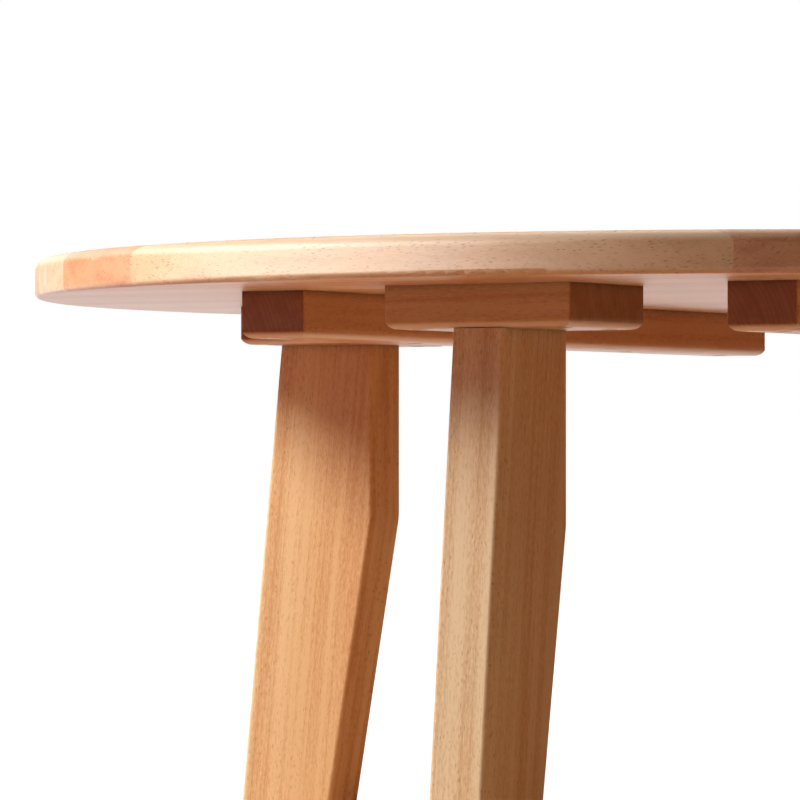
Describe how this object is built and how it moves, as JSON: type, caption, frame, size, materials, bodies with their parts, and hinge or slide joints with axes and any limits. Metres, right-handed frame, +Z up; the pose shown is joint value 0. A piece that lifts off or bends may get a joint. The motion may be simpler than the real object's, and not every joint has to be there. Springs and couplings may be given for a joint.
{
  "type": "folding low table",
  "caption": "Round low table of edge-glued staves on flat, splayed plank legs. Each leg folds sideways under the top on a hidden hinge bracket with a spring catch.",
  "frame": {"origin": "on the floor under the centre of the round top", "axes": "+Z up, +X along the grain of the top's staves, +Y along the two battens"},
  "size_m": [0.7499, 0.75, 0.305],
  "materials": {
    "beech_top": "clear satin lacquer",
    "beech_batten": "clear satin lacquer",
    "beech_block": "clear satin lacquer",
    "beech_leg": "clear satin lacquer",
    "felt": "pressed felt",
    "bracket_steel": "zinc plated",
    "pin_steel": "zinc plated",
    "spring_steel": "blued spring steel",
    "screw_steel": "yellow zinc"
  },
  "bodies": {
    "table_top": {"top_stave_01": "beech_top", "top_stave_02": "beech_top", "top_stave_03": "beech_top", "top_stave_04": "beech_top", "top_stave_05": "beech_top", "top_stave_06": "beech_top", "top_stave_07": "beech_top", "top_stave_08": "beech_top", "top_stave_09": "beech_top", "top_stave_10": "beech_top", "top_stave_11": "beech_top", "top_stave_12": "beech_top", "top_stave_13": "beech_top", "top_stave_14": "beech_top", "top_stave_15": "beech_top", "top_stave_16": "beech_top", "top_stave_17": "beech_top", "batten_west": "beech_batten", "batten_east": "beech_batten", "leg_block_south": "beech_block", "hinge_bracket_south": "bracket_steel", "pivot_pin_south": "pin_steel", "catch_spring_south": "spring_steel", "leg_block_east": "beech_block", "hinge_bracket_east": "bracket_steel", "pivot_pin_east": "pin_steel", "catch_spring_east": "spring_steel", "leg_block_north": "beech_block", "hinge_bracket_north": "bracket_steel", "pivot_pin_north": "pin_steel", "catch_spring_north": "spring_steel", "leg_block_west": "beech_block", "hinge_bracket_west": "bracket_steel", "pivot_pin_west": "pin_steel", "catch_spring_west": "spring_steel", "batten_screws": "screw_steel", "block_screws": "screw_steel", "bracket_screws": "screw_steel", "spring_rivets": "pin_steel"},
    "folding_leg_south": {"leg_south": "beech_leg", "foot_pad_south": "felt", "leg_plate_south": "bracket_steel", "leg_plate_screws_south": "screw_steel"},
    "folding_leg_east": {"leg_east": "beech_leg", "foot_pad_east": "felt", "leg_plate_east": "bracket_steel", "leg_plate_screws_east": "screw_steel"},
    "folding_leg_north": {"leg_north": "beech_leg", "foot_pad_north": "felt", "leg_plate_north": "bracket_steel", "leg_plate_screws_north": "screw_steel"},
    "folding_leg_west": {"leg_west": "beech_leg", "foot_pad_west": "felt", "leg_plate_west": "bracket_steel", "leg_plate_screws_west": "screw_steel"}
  },
  "joints": [
    {"name": "leg_fold_south", "type": "hinge", "parent": "table_top", "child": "folding_leg_south", "pos_m": [-0.0205, -0.2475, 0.24], "axis": [0, 1, 0], "range_deg": [0, 90], "deforming": ["catch_spring_south"]},
    {"name": "leg_fold_east", "type": "hinge", "parent": "table_top", "child": "folding_leg_east", "pos_m": [0.2475, -0.0205, 0.24], "axis": [-1, 0, 0], "range_deg": [0, 90], "deforming": ["catch_spring_east"]},
    {"name": "leg_fold_north", "type": "hinge", "parent": "table_top", "child": "folding_leg_north", "pos_m": [0.0205, 0.2475, 0.24], "axis": [0, -1, 0], "range_deg": [0, 90], "deforming": ["catch_spring_north"]},
    {"name": "leg_fold_west", "type": "hinge", "parent": "table_top", "child": "folding_leg_west", "pos_m": [-0.2475, 0.0205, 0.24], "axis": [1, 0, 0], "range_deg": [0, 90], "deforming": ["catch_spring_west"]}
  ]
}
